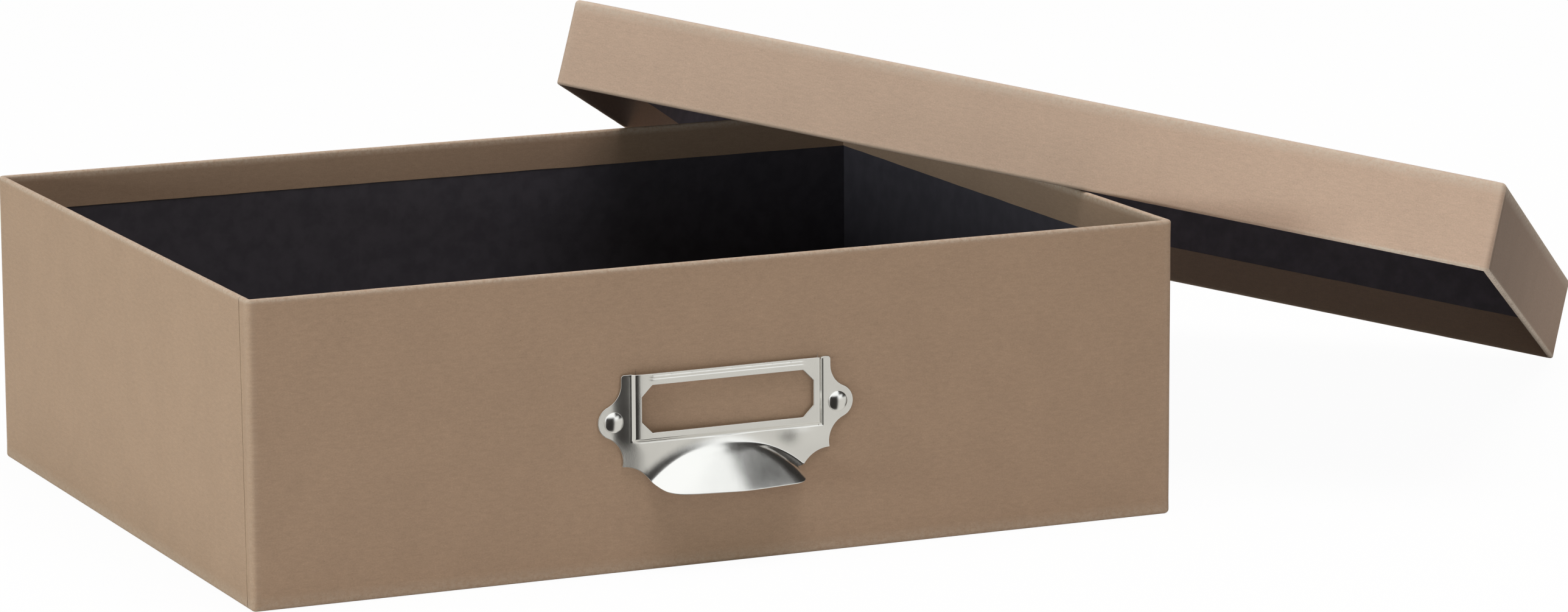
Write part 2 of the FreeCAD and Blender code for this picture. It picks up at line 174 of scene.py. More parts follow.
class Shader:
    """A node tree with short calls for the nodes that the materials use."""

    def __init__(self, owner):
        owner.use_nodes = True
        self.tree = owner.node_tree
        self.nodes = self.tree.nodes

    def feed(self, node, *values, first=0):
        """Link or set a node's input sockets in their order."""
        for socket, value in enumerate(values, first):
            self.put(node, socket, value)
        return node

    def put(self, node, socket, value):
        """Link one input socket to another node's output, or set its value."""
        if isinstance(value, bpy.types.NodeSocket):
            self.tree.links.new(value, node.inputs[socket])
        else:
            node.inputs[socket].default_value = value

    def set(self, node, **values):
        """Set a node's properties, and set or link its input sockets, by name."""
        for key, value in values.items():
            if hasattr(node, key):
                setattr(node, key, value)
            else:
                self.put(node, key.replace("_", " "), value)
        return node

    def add(self, kind, **values):
        return self.set(self.nodes.new("ShaderNode" + kind), **values)

    def math(self, operation, *values):
        return self.feed(self.add("Math", operation=operation), *values).outputs[0]

    def swing(self, value, amount):
        """A noise made to run about 0, this strongly."""
        return self.math("MULTIPLY", self.math("SUBTRACT", value, 0.5), amount)

    def stretch(self, vector, scale):
        """The coordinates times scale, along each axis."""
        return self.feed(self.add("VectorMath", operation="MULTIPLY"), vector, scale).outputs[0]

    def noise(self, vector, scale, detail, roughness):
        return self.add("TexNoise", Vector=vector, Scale=scale, Detail=detail,
                        Roughness=roughness).outputs["Fac"]

    def ramp(self, value, low, high, from_value=0.0, to_value=1.0):
        """Runs from one value to another as the input goes from low to high."""
        node = self.add("MapRange", interpolation_type="SMOOTHSTEP")
        return self.feed(node, value, low, high, from_value, to_value).outputs["Result"]

    def mix(self, factor, first, second):
        """One colour where the factor is 0, and the other where it is 1."""
        node = self.feed(self.add("Mix", data_type="RGBA"), factor)
        return self.feed(node, first, second, first=6).outputs[2]

    def mix_shader(self, factor, first, second):
        return self.feed(self.add("MixShader"), factor, first, second).outputs[0]

    def bump(self, height, distance, strength):
        return self.add("Bump", Height=height, Distance=distance, Strength=strength).outputs[0]

    def patch(self, way, ramps):
        """A patch of the directions: the product of ramps (axis, low, high) over a unit vector."""
        share = 1.0
        for axis, low, high in ramps:
            share = self.math("MULTIPLY", share, self.ramp(way[axis], low, high))
        return share


WHITE = (1, 1, 1, 1)

# The fill on everything but metal: from the left, and then what takes over in a patch.
FILL_LEFT = (0.19, 0.18, 0.14, 1)
FILL_FRONT = (0.56, 0.50, 0.39, 1)
FILL_RIGHT = (0.03, 0.03, 0.03, 1)
FILL_BACK = (0.85, 0.85, 0.84, 1)
FILL_PATCHES = (
    (FILL_FRONT, [("X", -0.4, 0.4)]),
    (FILL_RIGHT, [("X", 0.30, 0.62)]),
    (FILL_BACK, [("Y", 0.1, 0.5), ("X", -0.3, 0.1)]),
)

# The studio that metal sees: its tone near the table and above, and the dark patches in it: low
# behind the camera, high at the right, far right, and right from just above the table.
STUDIO_LOW = (0.62, 0.61, 0.57, 1)
STUDIO_HIGH = (1.03, 1.05, 1.04, 1)
STUDIO_DARK = (0.03, 0.028, 0.026, 1)
DARK_PATCHES = (
    [("X", 0.39, 0.20), ("X", -0.62, -0.50), ("Y", -0.40, -0.60), ("Z", 0.42, 0.28)],
    [("X", 0.402, 0.424), ("Z", 0.32, 0.42)],
    [("X", 0.80, 0.88), ("Y", -0.35, -0.15)],
    [("X", 0.66, 0.76), ("Z", 0.04, 0.16)],
)


def make_world():
    """White to the camera and soft fill to the rest; metal sees a bright studio whose camera side
    and right side are dark, as behind the camera of any photograph."""
    world = bpy.data.worlds.new("studio")
    bpy.context.scene.world = world
    shader = Shader(world)
    shader.nodes.clear()
    generated = shader.add("TexCoord").outputs["Generated"]
    way = shader.add("SeparateXYZ", Vector=generated).outputs
    path = shader.add("LightPath").outputs

    tint = FILL_LEFT
    for colour, ramps in FILL_PATCHES:
        tint = shader.mix(shader.patch(way, ramps), tint, colour)
    dark = 0.0
    for ramps in DARK_PATCHES:
        dark = shader.math("MAXIMUM", dark, shader.patch(way, ramps))
    tone = shader.mix(shader.ramp(way["Z"], -0.10, 0.30), STUDIO_LOW, STUDIO_HIGH)
    tone = shader.mix(dark, tone, STUDIO_DARK)

    fill, mirror, seen = (shader.add("Background", Color=colour, Strength=1.0).outputs[0]
                          for colour in (tint, tone, WHITE))
    lit = shader.mix_shader(path["Is Glossy Ray"], fill, mirror)
    shader.add("OutputWorld", Surface=shader.mix_shader(path["Is Camera Ray"], lit, seen))


FLOOR_HALF = 6.0        # metres
FLOOR_SEEN = (0.9, 0.9, 0.9, 1)
FLOOR_BOUNCE = (0.80, 0.80, 0.80, 1)    # what it casts back on the object
FLOOR_GLOW = 0.965      # share of plain white in what the camera sees of the table


def make_floor():
    """A plain white table. It keeps the object's shadow, softened towards white for the camera."""
    mesh = bpy.data.meshes.new("floor")
    corners = [(x * FLOOR_HALF, y * FLOOR_HALF, 0) for x, y in ((-1, -1), (1, -1), (1, 1), (-1, 1))]
    mesh.from_pydata(corners, [], [(0, 1, 2, 3)])
    floor = bpy.data.objects.new("floor", mesh)
    bpy.context.scene.collection.objects.link(floor)
    floor.visible_glossy = False
    material, shader, paint = new_material("floor")
    seen = shader.add("LightPath").outputs["Is Camera Ray"]
    shader.set(paint, Base_Color=shader.mix(seen, FLOOR_BOUNCE, FLOOR_SEEN), Roughness=0.9,
               Specular_IOR_Level=0.1)
    glow = shader.add("Emission", Strength=1.0)
    surface = shader.mix_shader(shader.math("MULTIPLY", seen, FLOOR_GLOW), paint.outputs[0],
                                glow.outputs[0])
    shader.set(shader.nodes["Material Output"], Surface=surface)
    mesh.materials.append(material)


# ---- materials ----

KRAFT = (0.411, 0.293, 0.206)
LID_PAINTED_LIGHT = (1.31, 1.37, 1.50)           # painted light: the lid's paper is made paler and bluer than the box's, as if lit more
# pale of scuffed paper, also painted on as the highlight of rounded rims and corners
PALE_WEAR_AND_HIGHLIGHT = (0.60, 0.53, 0.44, 1)
CLOUD_TONE = 0.14       # how strongly each noise changes the paper's tone
STREAK_TONE = 0.22
FIBRE_TONE = 0.40
FLECK_TONE = 0.18
SPECK_TONE = -0.24
SHADE_TONE = 0.75       # what a painted shade of 1 takes off
LINING_DARK = (0.058, 0.055, 0.067)
LINING_PALE = (0.073, 0.069, 0.083)
# painted light: the lid's lining is made three times paler, as if lit from below
LID_LINING_PAINTED_LIGHT = (3.0, 3.0, 3.0)
PLAIN = (1.0, 1.0, 1.0)


def new_material(name):
    """A material, its node tree and its surface shader."""
    material = bpy.data.materials.new(name)
    shader = Shader(material)
    return material, shader, shader.nodes["Principled BSDF"]


def tinted(colour, tint):
    """The colour times the tint, part by part."""
    return [part * share for part, share in zip(colour, tint)]


def kraft_paper(name, tint):
    """Brown kraft: faint clouds, fibres, pale and dark flecks; scuffed pale on worn edges, where
    highlights of the rounding are painted too; darkened by painted shade.

    The grain attribute is the place on the unrolled sheet in millimetres.
    """
    material, shader, paint = new_material(name)
    grain = shader.add("Attribute", attribute_name="grain").outputs["Vector"]
    wear_and_highlight = shader.add("Attribute", attribute_name="wear_and_highlight").outputs["Fac"]
    shade = shader.add("Attribute", attribute_name="shade").outputs["Fac"]
    fine = shader.stretch(grain, (0.75, 1.0, 1.0))
    mottle = shader.noise(grain, 0.05, 3.0, 0.55)
    cloud = shader.noise(fine, 0.45, 4.0, 0.62)
    fibre = shader.noise(fine, 2.1, 3.0, 0.65)
    fleck = shader.noise(fine, 1.5, 1.0, 0.5)
    speck = shader.noise(grain, 1.1, 1.0, 0.5)
    streak = shader.noise(shader.stretch(grain, (0.35, 1.0, 1.0)), 0.9, 2.0, 0.6)
    scuff = shader.noise(grain, 0.6, 4.0, 0.7)

    total = shader.ramp(mottle, 0.3, 0.7, 0.98, 1.02)
    for part in (shader.swing(cloud, CLOUD_TONE), shader.swing(streak, STREAK_TONE),
                 shader.swing(fibre, FIBRE_TONE), shader.ramp(fleck, 0.70, 0.80, 0.0, FLECK_TONE),
                 shader.ramp(speck, 0.74, 0.82, 0.0, SPECK_TONE)):
        total = shader.math("ADD", total, part)
    # painted shade darkens the paper where the shade attribute says
    lit = shader.math("SUBTRACT", 1.0, shader.math("MULTIPLY", shade, SHADE_TONE))
    total = shader.math("MULTIPLY", total, lit)
    plain = shader.add("VectorMath", operation="SCALE", Scale=total)
    colour = shader.feed(plain, tinted(KRAFT, tint)).outputs[0]
    # pale where the paper is scuffed and where highlights are painted on its edges
    worn_and_lit = shader.math("MULTIPLY", wear_and_highlight, shader.ramp(scuff, 0.35, 0.62, 0.25, 0.85))
    relief = shader.math("ADD", shader.math("MULTIPLY", cloud, 0.6), fibre)
    shader.set(paint, Base_Color=shader.mix(worn_and_lit, colour, PALE_WEAR_AND_HIGHLIGHT),
               Roughness=shader.ramp(cloud, 0.3, 0.7, 0.74, 0.86), Specular_IOR_Level=0.2,
               Normal=shader.bump(relief, 0.02 * MM, 0.6))
    return material


def black_lining(name, tint):
    """Matt black paper with a blue cast and a fine tooth."""
    material, shader, paint = new_material(name)
    place = shader.add("TexCoord").outputs["Object"]
    cloud = shader.noise(place, 160.0, 4.0, 0.6)
    tooth = shader.noise(place, 1400.0, 2.0, 0.6)
    dark, pale = ((*tinted(colour, tint), 1) for colour in (LINING_DARK, LINING_PALE))
    shader.set(paint, Base_Color=shader.mix(shader.ramp(cloud, 0.3, 0.7), dark, pale),
               Roughness=shader.ramp(cloud, 0.3, 0.7, 0.62, 0.74), Specular_IOR_Level=0.12,
               Normal=shader.bump(tooth, 0.02 * MM, 0.5))
    return material


def greyboard():
    """Pulp board, clouded and speckled dark."""
    material, shader, paint = new_material("greyboard")
    place = shader.add("TexCoord").outputs["Object"]
    cloud = shader.noise(place, 220.0, 5.0, 0.7)
    speck = shader.noise(place, 1100.0, 2.0, 0.6)
    tone = shader.mix(shader.ramp(cloud, 0.3, 0.7), (0.26, 0.25, 0.23, 1), (0.36, 0.35, 0.32, 1))
    tone = shader.mix(shader.ramp(speck, 0.62, 0.72), tone, (0.16, 0.15, 0.14, 1))
    shader.set(paint, Base_Color=tone, Roughness=shader.ramp(cloud, 0.3, 0.7, 0.85, 0.95),
               Normal=shader.bump(speck, 0.05 * MM, 0.6))
    return material


def gummed_tape():
    """Pale brown tape with upright fibres."""
    material, shader, paint = new_material("gummed_tape")
    place = shader.add("TexCoord").outputs["Object"]
    fibre = shader.noise(shader.stretch(place, (1.0, 1.0, 0.3)), 900.0, 3.0, 0.6)
    tone = shader.mix(fibre, (0.42, 0.32, 0.20, 1), (0.55, 0.44, 0.30, 1))
    shader.set(paint, Base_Color=tone, Roughness=shader.ramp(fibre, 0.3, 0.7, 0.5, 0.62),
               Normal=shader.bump(fibre, 0.02 * MM, 0.5))
    return material


def plated(name, colour, roughness, pebble):
    """Bright plating over sheet steel, with a very fine pebbled skin."""
    material, shader, paint = new_material(name)
    place = shader.add("TexCoord").outputs["Object"]
    grit = shader.noise(place, 4200.0, 2.0, 0.6)
    wave = shader.noise(place, 260.0, 2.0, 0.5)
    haze = shader.noise(place, 70.0, 3.0, 0.6)
    relief = shader.math("ADD", grit, shader.math("MULTIPLY", wave, 1.2))
    shader.set(paint, Base_Color=(*colour, 1), Metallic=1.0,
               Roughness=shader.ramp(haze, 0.3, 0.7, roughness * 0.85, roughness * 1.15),
               Normal=shader.bump(relief, pebble * MM, 1.0))
    return material


# ---- mesh helpers ----

WELD_REACH = 0.004      # points closer than this are joined


def add_piece(name, mesh, body, material, nodes, sharp=40.0):
    """Link a finished mesh as a piece that rides on a body and stands for some nodes."""
    mesh.materials.append(material)
    mesh.polygons.foreach_set("use_smooth", [True] * len(mesh.polygons))
    mesh.set_sharp_from_angle(angle=math.radians(sharp))
    piece = bpy.data.objects.new(name, mesh)
    bpy.context.scene.collection.objects.link(piece)
    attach(piece, body)
    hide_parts(*nodes)
    return piece


def new_mesh(name, points, faces, place):
    """A mesh from points in millimetres, put in place, with its faces turned outwards."""
    mesh = bpy.data.meshes.new(name)
    mesh.from_pydata([place @ (Vector(p) * MM) for p in points], [], faces)
    work = bmesh.new()
    work.from_mesh(mesh)
    bmesh.ops.recalc_face_normals(work, faces=work.faces)
    work.to_mesh(mesh)
    work.free()
    return mesh


def weld(piece):
    """Join the points that fall together in narrow corners."""
    piece.modifiers.new("clean corners", "WELD").merge_threshold = WELD_REACH * MM


def set_attribute(mesh, name, values):
    """Numbers or vectors kept on the mesh's points, for its material."""
    kind = "FLOAT" if isinstance(values[0], float) else "FLOAT_VECTOR"
    attribute = mesh.attributes.new(name, kind, "POINT")
    if kind == "FLOAT":
        attribute.data.foreach_set("value", values)
    else:
        attribute.data.foreach_set("vector", [c for value in values for c in value])


def blend(low, high, value):
    """0 below low, 1 above high, and a smooth rise between; low may be above high."""
    share = min(1.0, max(0.0, (value - low) / (high - low)))
    return share * share * (3.0 - 2.0 * share)


def spread(start, end, step):
    """Even places from start to end, both included, at most step apart."""
    count = max(1, math.ceil(abs(end - start) / step))
    return [start + (end - start) * i / count for i in range(count + 1)]


def fill_outline(loops, inner):
    """Triangles inside the first loop and outside the others, through the inner points."""
    points = []
    edges = []
    for loop in loops:
        start = len(points)
        points += loop
        edges += [(start + i, start + (i + 1) % len(loop)) for i in range(len(loop))]
    points = points + inner
    flat, _, faces, _, _, _ = delaunay_2d_cdt([Vector(p) for p in points], edges, [], 0, 1e-6)
    kept = []
    for face in faces:
        middle = sum((flat[i] for i in face), Vector((0, 0))) / len(face)
        if enclosed(middle, loops):
            kept.append(tuple(face))
    return flat, kept


def enclosed(point, loops):
    """Whether a point lies inside the first loop and outside the others."""
    return within(point, loops[0]) and not any(within(point, hole) for hole in loops[1:])


def within(point, loop):
    """Whether a point lies inside a closed loop."""
    inside = False
    before = loop[-1]
    for after in loop:
        if (after.y > point.y) != (before.y > point.y):
            cross = (before.x - after.x) * (point.y - after.y) / (before.y - after.y) + after.x
            if point.x < cross:
                inside = not inside
        before = after
    return inside


# ---- the kraft covering: one strip swept round four walls ----

FOLD_RADIUS = 0.3       # inner corners of the turned-in paper
CORNER_STEPS = 6
FINE_STRETCH = 24.0     # columns are close together this far from a corner
FINE_STEP = 0.8
COARSE_STEP = 4.0
ROW_STEP = 4.0
SEAM_HALF = 0.30        # half the width of the gap between the strip's ends
SEAM_DEPTH = 0.2
# painted shade in the gap between the strip's ends
SEAM_SHADE = 1.2
SEAM_SHIFT_END = 32.0   # the columns lean with the seam up to here
SEAM_SIDE = 3           # the box's left wall and the lid's right end
UNDER_ROWS = (TURN_UNDER, 10.0, 6.0, 3.0, 2.2)      # insets of the rows on the closed side
FOOT_STEPS = 6
RIM_STEPS = 5
HIDDEN_TURN = math.pi / 6               # steps round the paper's inner face
INSIDE_STEP = 2.2

FLAT_NEAR_EDGE = 6.0    # the paper's waves die out this close to an edge
NICK_REACH = 22.0       # the lid's near rim is nicked this far from its right corner
NICK_DEPTH = 0.30
INSIDE_SHADE = 0.18     # painted shade: the box's turned-in paper is darkened below its outside
LID_END_SHADE = 0.36    # and painted shade on the lid's right end, more so towards its near corner
LID_END_SHADE_RISE = 0.30
# scuff on the rims, also the painted highlight of their rounding
RIM_WEAR_AND_HIGHLIGHT = 0.6
LID_END_WEAR = 1.4      # the rim of the lid's right end is scuffed pale
LID_RIM_WEAR = 0.2
LID_SCUFF = 1.0         # what its near side has more, towards the right corner
SCUFF_REACH = (90.0, 30.0)
TOP_WEAR = 0.5          # the wall just under the rim
TOP_WEAR_REACH = (1.8, 0.9)
FOOT_WEAR = 0.35
# the lid's edge round its top is paler still: wear and painted sheen of its top seen at a grazing
# angle
LID_FOOT_WEAR_AND_SHEEN = 0.8
# and on the upright corners, also painted highlight
CORNER_WEAR_AND_HIGHLIGHT = 0.1
CORNER_WEAR_REACH = (4.0, 2.0)
EDGE_WANDER = 0.16      # the turned-in edge runs up and down by this
RIM_DIP = 0.05          # the rim dips by up to twice this


def side_columns(length):
    """Places of the straight columns along one wall."""
    start = WALL + FOLD_RADIUS
    fine = spread(start, FINE_STRETCH, FINE_STEP)
    middle = spread(FINE_STRETCH, length - FINE_STRETCH, COARSE_STEP)
    return fine + middle[1:-1] + [length - place for place in reversed(fine)]


def seam_columns(length):
    """The same along the wall with the seam, whose gap gets close columns of its own."""
    seam = length - SEAM_AT_RIM
    close = [seam + part * SEAM_HALF for part in (-2, -1, -0.8, 0, 0.8, 1, 2)]
    rest = [place for place in side_columns(length) if abs(place - seam) > 2.6 * SEAM_HALF]
    return sorted(rest + close)


def strip_columns(size):
    """Every column round the walls: its corner, directions, place, turn, length so far, side."""
    half = Vector((size[0] / 2, size[1] / 2))
    sides = (((-half.x, -half.y), (1, 0), size[0]), ((half.x, -half.y), (0, 1), size[1]),
             ((half.x, half.y), (-1, 0), size[0]), ((-half.x, half.y), (0, -1), size[1]))
    columns = []
    run = 0.0
    for number, (corner, along, length) in enumerate(sides):
        corner = Vector(corner)
        along = Vector(along)
        inward = Vector((-along.y, along.x))
        for step in range(CORNER_STEPS + 1):
            turn = math.pi / 2 * step / CORNER_STEPS
            columns.append((corner, along, inward, 0.0, turn, run + EDGE_RADIUS * turn, number))
        places = seam_columns(length) if number == SEAM_SIDE else side_columns(length)
        for place in places:
            columns.append((corner, along, inward, place, None, run + place, number))
        run += length
    return columns


def strip_rows(height):
    """The strip's section: inset from the outside, height, and which side of the paper."""
    low = PAPER
    rim = height - RIM_RADIUS
    foot = low + FOOT_RADIUS
    rows = [(inset, low, "under") for inset in UNDER_ROWS]
    for step in range(FOOT_STEPS + 1):
        turn = math.pi / 2 * step / FOOT_STEPS
        rows.append((FOOT_RADIUS * (1 - math.sin(turn)), foot - FOOT_RADIUS * math.cos(turn),
                     "foot"))
    rows += [(0.0, z, "wall") for z in spread(foot, rim - 1.2, ROW_STEP)[1:] + [rim - 0.5]]
    turns = [math.pi / 2 * step / RIM_STEPS for step in range(RIM_STEPS + 1)]
    rows += [(RIM_RADIUS * (1 - math.cos(turn)), rim + RIM_RADIUS * math.sin(turn), "rim")
             for turn in turns]
    rows += [(WALL - RIM_RADIUS * (1 - math.sin(turn)), rim + RIM_RADIUS * math.cos(turn), "rim")
             for turn in turns]
    rows += [(WALL, z, "inside") for z in spread(rim, height - TURN_IN, INSIDE_STEP)[1:]]
    rows += [(WALL - PAPER, height - TURN_IN, "hidden"), (WALL - PAPER, rim, "hidden")]
    small = RIM_RADIUS - PAPER
    for middle, sign in ((WALL - RIM_RADIUS, 1), (RIM_RADIUS, -1)):
        for step in (1, 2, 3):
            turn = HIDDEN_TURN * (step if sign > 0 else 3 - step)
            rows.append((middle + sign * small * math.cos(turn), rim + small * math.sin(turn),
                         "hidden"))
    rows.append((PAPER, foot, "hidden"))
    small = FOOT_RADIUS - PAPER
    for step in (1, 2, 3):
        turn = HIDDEN_TURN * step
        rows.append((FOOT_RADIUS - small * math.cos(turn), foot - small * math.sin(turn), "hidden"))
    rows.append((TURN_UNDER, low + PAPER, "hidden"))
    return rows


def paper_wave(run, z, seed):
    """How far the pasted paper lies in from flat: long soft waves, 0 to 0.12 mm."""
    wave = noise.noise(Vector((run / 48.0, z / 30.0, seed)))
    ripple = noise.noise(Vector((run / 13.0, z / 17.0, seed + 5.0)))
    return 0.06 + 0.045 * wave + 0.015 * ripple


def wear_and_highlight_at(part, under_rim, side, place, is_lid):
    """How scuffed the paper is, with the painted highlight of its rounded edges, by the part of its
    section and the place along the wall.
    """
    if part == "rim" and is_lid:
        near = LID_SCUFF * blend(*SCUFF_REACH, place) if side == 0 else 0.0
        return LID_END_WEAR if side == SEAM_SIDE else LID_RIM_WEAR + near
    if part == "wall":
        return TOP_WEAR * blend(*TOP_WEAR_REACH, under_rim)
    if part == "foot":
        return LID_FOOT_WEAR_AND_SHEEN if is_lid else FOOT_WEAR
    return RIM_WEAR_AND_HIGHLIGHT if part == "rim" else 0.0


def strip_point(column, row, height, seed, is_lid):
    """Place of one vertex, how much of it is worn and painted with highlight, and how much painted
    shade it has.
    """
    corner, along, inward, place, turn, run, side = column
    inset, z, part = row
    length = 2 * (abs(corner.y) if side % 2 else abs(corner.x))
    from_end = length - place
    shade = 0.0
    outside = part in ("wall", "foot") or (part == "rim" and inset < WALL / 2)
    if side == SEAM_SIDE and turn is None:
        lean = (SEAM_AT_RIM - SEAM_AT_FOOT) * (1 - z / height)
        if from_end < SEAM_AT_RIM:
            share = blend(WALL + FOLD_RADIUS, SEAM_AT_RIM - SEAM_HALF, from_end)
        else:
            share = blend(SEAM_SHIFT_END, SEAM_AT_RIM + SEAM_HALF, from_end)
        place += lean * share
        gap = blend(SEAM_HALF, 0.8 * SEAM_HALF, abs(from_end - SEAM_AT_RIM))
        # the seam is sunk, and painted shade darkens its gap
        if outside:
            inset += SEAM_DEPTH * gap
            shade = SEAM_SHADE * gap
        # painted shade over the lid's right end
        if outside and is_lid:
            shade = max(shade, LID_END_SHADE + LID_END_SHADE_RISE * blend(length, 0.0, from_end))
    # painted shade on the box's turned-in paper
    if part == "inside" and not is_lid:
        shade = INSIDE_SHADE
    if part in ("wall", "hidden") and inset < WALL / 2:
        edge = min(z - PAPER, height - z) / FLAT_NEAR_EDGE
        inset += paper_wave(run, z, seed) * min(1.0, max(0.0, edge))
    if part in ("inside", "hidden") and inset > WALL / 2:
        droop = blend(height - 2.0, height - TURN_IN, z)
        z += EDGE_WANDER * droop * noise.noise(Vector((run / 16.0, 0.0, seed + 9.0)))
    if z > height - RIM_RADIUS - 0.01:
        z -= RIM_DIP * (1 + noise.noise(Vector((run / 9.0, 0.0, seed + 3.0))))
        if is_lid and side == 0 and turn is None and place < NICK_REACH:
            bite = noise.noise(Vector((place / 1.1, inset / 0.9, seed + 7.0)))
            z -= NICK_DEPTH * max(0.0, bite) * blend(NICK_REACH, NICK_REACH - 6.0, place)
    wear_and_highlight = wear_and_highlight_at(part, height - z, side, place, is_lid)
    if part in ("wall", "foot", "rim"):
        near_corner = 1.0
        if turn is None:
            near_corner = blend(*CORNER_WEAR_REACH, min(place, from_end))
        wear_and_highlight = max(wear_and_highlight, CORNER_WEAR_AND_HIGHLIGHT * near_corner)
    if turn is None:
        flat = corner + along * place + inward * inset
    else:
        radius = max(EDGE_RADIUS - inset, FOLD_RADIUS)
        centre = corner + (along + inward) * (inset + radius)
        flat = centre - (along * math.cos(turn) + inward * math.sin(turn)) * radius
    return (flat.x, flat.y, z), wear_and_highlight, shade


def covering(name, size, height, place, body, seed, is_lid, material, nodes):
    """The kraft strip of one half of the box, with its real thickness."""
    columns = strip_columns(size)
    rows = strip_rows(height)
    points, grain, wear_and_highlight, shade = [], [], [], []
    travel = 0.0
    for number, row in enumerate(rows):
        if number:
            before = rows[number - 1]
            travel += math.hypot(row[0] - before[0], row[1] - before[1])
        for column in columns:
            point, worn_and_lit, shaded = strip_point(column, row, height, seed, is_lid)
            points.append(point)
            grain.append((column[5], travel, seed * 10.0))
            wear_and_highlight.append(worn_and_lit)
            shade.append(shaded)
    wide = len(columns)
    tall = len(rows)
    faces = []
    for i in range(tall):
        for j in range(wide):
            k = (j + 1) % wide
            n = (i + 1) % tall
            faces.append((i * wide + j, i * wide + k, n * wide + k, n * wide + j))
    mesh = new_mesh(name, points, faces, place)
    set_attribute(mesh, "grain", grain)
    set_attribute(mesh, "wear_and_highlight", wear_and_highlight)
    set_attribute(mesh, "shade", shade)
    weld(add_piece(name, mesh, body, material, nodes))


def lid_place():
    """Where the lid leans, read from its top board: a matrix from a tray built closed side down."""
    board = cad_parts["lid_top_board"]
    corners = []
    for vertex in board.data.vertices:
        if all((vertex.co - other).length > 0.1 * MM for other in corners):
            corners.append(vertex.co.copy())
    first = corners[0]
    ways = sorted((corner - first for corner in corners[1:]), key=lambda way: way.length)
    thick = ways[0].normalized()
    deep = ways[1]
    wide = ways[3]
    size = (wide.length / MM, deep.length / MM)
    u = wide.normalized() * math.copysign(1, wide.x)
    v = deep.normalized() * math.copysign(1, deep.y)
    w = thick * math.copysign(1, thick.z)
    middle = sum(corners, Vector()) / len(corners) + w * (2 * PAPER + BOARD / 2) * MM
    turn = Matrix((-u, v, -w)).transposed().to_4x4()
    margin = 2 * (PAPER + STAY + BOARD)
    return Matrix.Translation(middle) @ turn, (size[0] + margin, size[1] + margin)


SHEET_STEP = 8.0
SHEET_EDGE = 6.0        # the inner points keep this far from the sheet's edge
SHEET_WAVE = 0.03       # its outside lies in by up to twice this


def end_sheet(name, size, place, body, seed, material, nodes):
    """The sheet pasted over the closed side, lying in gentle waves."""
    half_w = size[0] / 2 - SHEET_MARGIN
    half_d = size[1] / 2 - SHEET_MARGIN
    grid_w = half_w - SHEET_EDGE
    grid_d = half_d - SHEET_EDGE
    border = []
    for sx, sy, start in ((1, -1, 1.5), (1, 1, 0.0), (-1, 1, 0.5), (-1, -1, 1.0)):
        centre = Vector((sx * (half_w - EDGE_RADIUS), sy * (half_d - EDGE_RADIUS)))
        for turn in spread(start * math.pi, (start + 0.5) * math.pi, math.radians(18)):
            border.append(centre + EDGE_RADIUS * Vector((math.cos(turn), math.sin(turn))))
    filled = []
    for index, point in enumerate(border):
        after = border[(index + 1) % len(border)]
        steps = max(1, round((after - point).length / SHEET_STEP))
        filled += [point.lerp(after, i / steps) for i in range(steps)]
    inner = [Vector((x, y)) for x in spread(-grid_w, grid_w, SHEET_STEP)
             for y in spread(-grid_d, grid_d, SHEET_STEP)]
    flat, faces = fill_outline([filled], inner)
    count = len(flat)
    points = []
    for z in (0.0, PAPER):
        for p in flat:
            wave = SHEET_WAVE * (1 + noise.noise(Vector((p.x / 60.0, p.y / 45.0, seed))))
            points.append((p.x, p.y, z + (wave if z == 0.0 else 0.0)))
    solid = [tuple(f) for f in faces] + [tuple(count + i for i in reversed(f)) for f in faces]
    rim = len(filled)
    solid += [((i + 1) % rim, i, i + count, (i + 1) % rim + count) for i in range(rim)]
    mesh = new_mesh(name, points, solid, place)
    set_attribute(mesh, "grain", [(x, y, seed * 10.0) for x, y, _ in points])
    add_piece(name, mesh, body, material, nodes)


def cover_half(prefix, closed, body, size, height, place, seed, is_lid, material):
    """The strip and the pasted sheet of one half, built as a tray with its closed side down."""
    covering(prefix + "_covering", size, height, place, body, seed, is_lid, material,
             [prefix + "_side_wrap"])
    end_sheet(prefix + "_pasted_sheet", size, place, body, seed + 2.0, material,
              [prefix + "_" + closed])


# ---- the label holder: one stamping, as a height over its outline ----

OUTLINE_STEP = 0.6
EDGE_ROWS = (0.22, 0.46, 0.72)          # rows of points that follow the outline inside it
BEND = 0.3              # softness of the pressed frame's edges
CREASE_HALF = 0.42      # half the width of the crease along the frame's foot and right end
CREASE_DEPTH = 0.11
CREASE_START = 4.0      # from the frame's left end to where the crease is whole
BAR_CROWN = 0.45        # the frame's left bar rolls up towards the window
FLANGE_LIFT = 0.75      # the plate rises towards the frame's left end
FLANGE_REACH = 7.5
LOW_LIFT = -0.2         # and less below the frame, over a longer way
LOW_REACH = 5.0
HUMP_RISE = 0.50        # a soft hump right of the cup
HUMP_AT = (28.2, -11.0)
HUMP_REACH = (6.5, 3.0)
EDGE_ROUND = 0.12       # sheared edges, tumbled round
RIB_HALF = 0.55         # half the width of a rib
RIB_RISE = 0.10
LEFT_RUN = 17.0         # the cup's left end reaches its full depth this far inside the arch
RIGHT_RUN = 11.5        # the same at its right end
CUP_MIDDLE = 10.0       # the two blend within this of its middle
LIP_FINE = 17.0         # the lip's points lie closer together within this of its tips
CUP_ROOT = 1.0          # softness where the cup leaves the plate, less at its right end
CUP_ROOT_LEAST = 0.15
FACE_TURN = math.radians(9.0)           # half of how far the face curves over, from arch to lip
RIDGE_FALL = 0.042      # the face falls away to both sides of a soft upright ridge
RIDGE_SOFT = 4.0
RIDGE_LEAN = 4.5        # how far the ridge moves right from the arch to the lip
RIDGE_START = 0.3       # the share of the way down where it is in the middle
DRAW_REACH = 4.4        # the plate is drawn out this far round the arch
DRAW_RISE = 0.75
